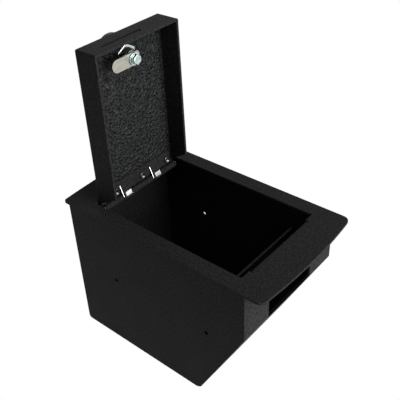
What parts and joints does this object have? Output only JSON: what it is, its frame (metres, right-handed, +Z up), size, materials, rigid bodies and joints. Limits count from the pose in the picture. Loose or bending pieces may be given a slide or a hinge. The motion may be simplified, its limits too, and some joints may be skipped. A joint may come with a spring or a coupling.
{
  "type": "console safe",
  "caption": "Welded steel console strongbox with a wide drop-in flange, a sloped front, a flush hinged lid and a cam lock.",
  "frame": {"origin": "under the middle of the flange, on the plane of the box's floor", "axes": "+Z up; +X from the hinge end to the front end with the notch; +Y from the near side wall to the far one"},
  "size_m": [0.276, 0.16, 0.3562],
  "materials": {
    "textured_coat": "black textured powder coat",
    "lid_coat": "black hammered powder coat",
    "lock_black": "satin black coated die casting",
    "bare_steel": "bare drawn steel",
    "zinc": "bright zinc plating with a blue-green cast",
    "cam_steel": "stamped steel with a warm bright plating",
    "nickel": "satin nickel"
  },
  "bodies": {
    "box": {"flange_plate": "textured_coat", "body_wrap_sheet": "textured_coat", "near_side_plate": "textured_coat", "far_side_plate": "textured_coat", "stop_channel": "textured_coat", "channel_end_near": "textured_coat", "channel_end_far": "textured_coat", "hinge_box_leaf": "textured_coat", "hinge_pin": "bare_steel"},
    "lid": {"lid_pan": "lid_coat", "hinge_lid_leaf": "textured_coat", "leaf_rivet_1": "textured_coat", "leaf_rivet_2": "textured_coat", "leaf_rivet_3": "textured_coat", "lock_body": "lock_black", "lock_mounting_nut": "zinc"},
    "lock_plug": {"key_plug": "nickel", "stop_washer": "zinc", "cam": "cam_steel", "cam_washer": "zinc", "cam_screw": "zinc"}
  },
  "joints": [
    {"name": "lid_hinge", "type": "hinge", "parent": "box", "child": "lid", "pos_m": [-0.0935, 0, 0.1715], "axis": [0, 1, 0], "range_deg": [0, 90.7]},
    {"name": "lock_turn", "type": "hinge", "parent": "lid", "child": "lock_plug", "pos_m": [-0.09544, 0, 0.32999], "axis": [-0.9999, 0, -0.0122], "range_deg": [0, 90]}
  ]
}
